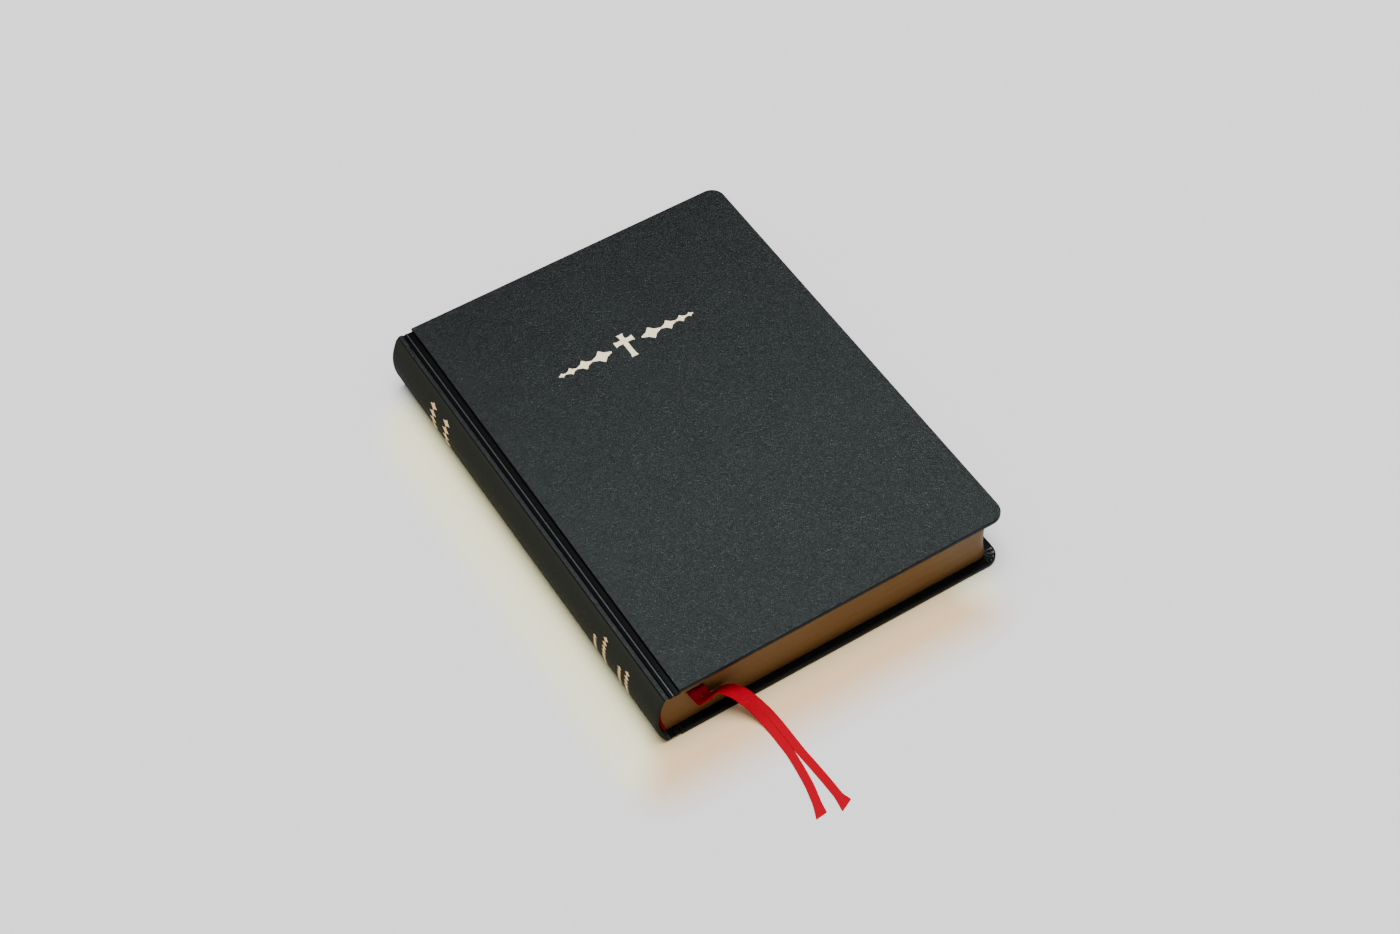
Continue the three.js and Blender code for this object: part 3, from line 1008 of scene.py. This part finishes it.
def cross_outline():
    """A plain cross whose arms flare at their ends."""
    stem = 1.05
    flare = 1.5
    narrow = 3.0  # from here the side arms widen
    arm = 4.2
    foot = -6.8
    top = 6.0
    crossbar = 2.1
    right = [
        (flare, foot),
        (stem, foot + 1.6),
        (stem, crossbar - stem),
        (narrow, crossbar - stem),
        (arm, crossbar - flare),
        (arm, crossbar + flare),
        (narrow, crossbar + stem),
        (stem, crossbar + stem),
        (stem, top - 1.2),
        (flare, top),
    ]
    left = [(-x, y) for x, y in reversed(right)]
    return [(ORNAMENT_X + x, ORNAMENT_Y + y) for x, y in right + left]


def lozenge(x, y, half_x, half_y):
    """A diamond with hollowed sides."""
    tips = [(half_x, 0), (0, half_y), (-half_x, 0), (0, -half_y)]
    hollow = 0.4  # 0.5 would be straight sides
    outline = []
    for (ax, ay), (bx, by) in zip(tips, tips[1:] + tips[:1]):
        outline.append((x + ax, y + ay))
        outline.append((x + (ax + bx) * hollow, y + (ay + by) * hollow))
    return outline


STRING_LOZENGES = [(9, 3.3), (7, 2.6), (5, 1.9), (3, 1.2)]  # length and half height
STRING_START = 7.0
STRING_NECK = 0.3  # half the height where two lozenges meet
LOZENGE_SIDE = [(0.3, 0.42), (0.5, 1.0), (0.7, 0.42)]  # shares of its length and half height


def lozenge_string(sign):
    """Lozenges with hollowed sides that shrink outwards from the cross."""
    upper = []
    x = STRING_START
    for length, half in STRING_LOZENGES:
        upper.append((x, STRING_NECK))
        for along, up in LOZENGE_SIDE:
            upper.append((x + along * length, up * half))
        x += length
    upper.append((x, STRING_NECK))
    lower = [(x, -y) for x, y in reversed(upper)]
    outline = [(ORNAMENT_X + sign * x, ORNAMENT_Y + y) for x, y in upper + lower]
    return outline[::sign]


def spine_foil(number, material):
    """A row of lozenges across the round spine, inside the CAD rule's place."""
    node = f"spine_rule_{number}"
    low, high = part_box(node)
    bottom = low.z / MM
    top = high.z / MM
    y = (low.y + high.y) / 2 / MM
    half_height = (high.y - low.y) / 2 / MM
    count = max(2, round((top - bottom) / (1.5 * half_height)))
    half_step = (top - bottom) / (2 * count)
    points = []
    faces = []
    for k in range(count):
        middle = bottom + (2 * k + 1) * half_step
        outline = lozenge(middle, y, half_step * 0.92, half_height)
        first = len(points)
        size = len(outline)
        for lift in (-0.02, FOIL_LIFT + FOIL):
            radius = SPINE_RADIUS + lift
            for z, place_y in outline:
                points.append((ARC_X - math.sqrt(radius**2 - (z - MID_Z) ** 2), place_y, z))
        faces.append([first + i for i in range(size)][::-1])
        faces.append([first + size + i for i in range(size)])
        for i in range(size):
            j = (i + 1) % size
            faces.append([first + i, first + j, first + size + j, first + size + i])
    piece = make_piece(f"spine_foil_{number}", points, faces, [material], smooth=False)
    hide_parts(node)
    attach(piece, "spine")


# ---- studio -----------------------------------------------------------------------------------------
FLOOR_Z = -0.05
SKY_STOPS = [(0.0, 0.1), (0.66, 0.15), (0.92, 1.3)]  # height of a direction, and its light
SKY_STRENGTH = 1.3
SOFTBOX_SPREAD = math.radians(34)
SOFTBOX_STRENGTH = 3.8


def add_floor(material):
    side = 40000
    corners = ((-side, -side), (side, -side), (side, side), (-side, side))
    points = [(x, y, FLOOR_Z) for x, y in corners]
    floor = make_piece("floor", points, [[0, 1, 2, 3]], [material])


def add_softbox():
    """A large far softbox straight above: parallel light, spread over an angle."""
    data = bpy.data.lights.new("softbox", "SUN")
    data.angle = SOFTBOX_SPREAD
    data.energy = SOFTBOX_STRENGTH
    light = bpy.data.objects.new("softbox", data)
    bpy.context.scene.collection.objects.link(light)


def add_studio():
    """A pale floor, a sky that is bright overhead and dark low down, and one softbox."""
    add_floor(studio_floor())
    world = bpy.data.worlds.new("studio")
    bpy.context.scene.world = world
    world.use_nodes = True
    tree = world.node_tree
    place = tree.nodes.new("ShaderNodeTexCoord")
    axes = tree.nodes.new("ShaderNodeSeparateXYZ")
    ramp = tree.nodes.new("ShaderNodeValToRGB")
    sky = tree.nodes["Background"]
    tree.links.new(place.outputs["Generated"], axes.inputs["Vector"])
    tree.links.new(axes.outputs["Z"], ramp.inputs["Fac"])
    tree.links.new(ramp.outputs["Color"], sky.inputs["Color"])
    ramp.color_ramp.elements.new(0.5)
    for element, (height, light) in zip(ramp.color_ramp.elements, SKY_STOPS):
        element.position = height
        element.color = (light, light, light, 1)
    sky.inputs["Strength"].default_value = SKY_STRENGTH
    add_softbox()


# ---- the book ---------------------------------------------------------------------------------------
def paint(nodes, material):
    for name in nodes:
        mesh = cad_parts[name].data
        mesh.materials.clear()
        mesh.materials.append(material)


def make_ribbons():
    red = silk("red_silk", (0.37, 0.0, 0.011))
    for name in TAIL_STOPS:
        ribbon_tail(name, red)
        ribbon_inside(name, red)


# BLACK and SOOT paint the rims, turn-ins, pleats and grooves near black: painted shade.
BLACK = (0.002, 0.002, 0.002)
SOOT = (0.004, 0.004, 0.004)
# Each leather's dark tone is its colour at the head and its light tone its colour at the tail: the
# step between them is a painted sheen.
COVER_TONES = ((0.0014, 0.002, 0.0021), (0.0092, 0.011, 0.0112))
# The ridge tones are lighter than the cover's: a painted highlight on the thin ridge.
RIDGE_TONES = ((0.016, 0.02, 0.022), (0.023, 0.027, 0.03))
SPINE_TONES = ((0.019, 0.0195, 0.0155), (0.021, 0.0215, 0.017))


def make_case():
    """Both covers, the french joints and the round spine."""
    cover = leather("cover_leather", *COVER_TONES, grain=0.7, shine=0.33, matt=0.08)
    # The edge and pleat leathers are near-black, less shiny copies of the cover leather: painted
    # shade.
    edge = leather("edge_leather_painted_shade", BLACK, BLACK, grain=0.15, shine=0.06)
    pleats = leather("pleat_leather", BLACK, SOOT, grain=0.15, shine=0.3, matt=-0.12)
    # A lighter, shinier copy of the leather: a painted highlight line on the thin ridge.
    ridge = leather("ridge_leather_painted_highlight", *RIDGE_TONES, grain=0.15, shine=0.8)
    spine = leather("spine_leather", *SPINE_TONES, grain=0.1, shine=0.02, matt=0.35)
    for side in SIDES:
        cover_leather(side, [cover, edge, pleats])
        case_cloth(side, [edge, ridge, cover, spine])


def make_leaves(black_paper):
    gilt_edge = gilt("gilt_edge", 1.0, 0.35)
    # The flyleaves' edges get a gilt 1.8 times brighter: a painted highlight along them.
    painted_highlight_gilt_rim = gilt("painted_highlight_gilt_rim", 1.8, 0.3)
    paper = page_paper()
    rng = random.Random(5)
    for number in range(1, SECTION_COUNT + 1):
        section(number, gilt_edge, paper, rng)
    for side in SIDES:
        flyleaf(side, painted_highlight_gilt_rim, black_paper)


def make_bands():
    band_silk = silk("band_silk", (0.3, 0.001, 0.008))
    for end in ("head", "tail"):
        woven_band(end, band_silk)


def make_ornaments():
    foil = gold_foil("gold_foil", (0.8, 0.58, 0.28), (1.0, 0.9, 0.62))
    deep_foil = gold_foil("deep_gold_foil", (0.4, 0.22, 0.08), (0.85, 0.56, 0.25))
    flat_foil("cover_cross_foil", cross_outline(), "cover_cross", foil)
    flat_foil("cover_rule_left_foil", lozenge_string(-1), "cover_rule_left", foil)
    flat_foil("cover_rule_right_foil", lozenge_string(1), "cover_rule_right", foil)
    for number in range(1, SPINE_RULES + 1):
        spine_foil(number, deep_foil)


def paint_hidden_pieces(black_paper):
    """The CAD solids inside the case keep their shape and only get a material."""
    greyboard = card("greyboard", (0.2, 0.19, 0.16), (0.32, 0.3, 0.26), 900)
    inlay_card = card("inlay_card", (0.45, 0.4, 0.3), (0.6, 0.55, 0.44), 1200)
    kraft = card("kraft_lining", (0.32, 0.22, 0.12), (0.45, 0.33, 0.2), 1500)
    gauze = woven("spine_gauze", (0.3, 0.28, 0.23), (0.75, 0.72, 0.64), 0.0009)
    thread = woven("linen_thread", (0.5, 0.47, 0.4), (0.82, 0.79, 0.7), 0.0003)
    paint(["front_pastedown", "back_pastedown"], black_paper)
    paint(["front_board", "back_board"], greyboard)
    paint(["spine_inlay"], inlay_card)
    paint(["spine_lining"], kraft)
    paint(["spine_gauze"], gauze)
    paint([f"sewing_thread_{row}" for row in range(1, THREAD_ROWS + 1)], thread)


def build():
    black_paper = endpaper()
    make_ribbons()
    make_case()
    make_leaves(black_paper)
    make_bands()
    make_ornaments()
    paint_hidden_pieces(black_paper)


add_camera()
build()
add_studio()
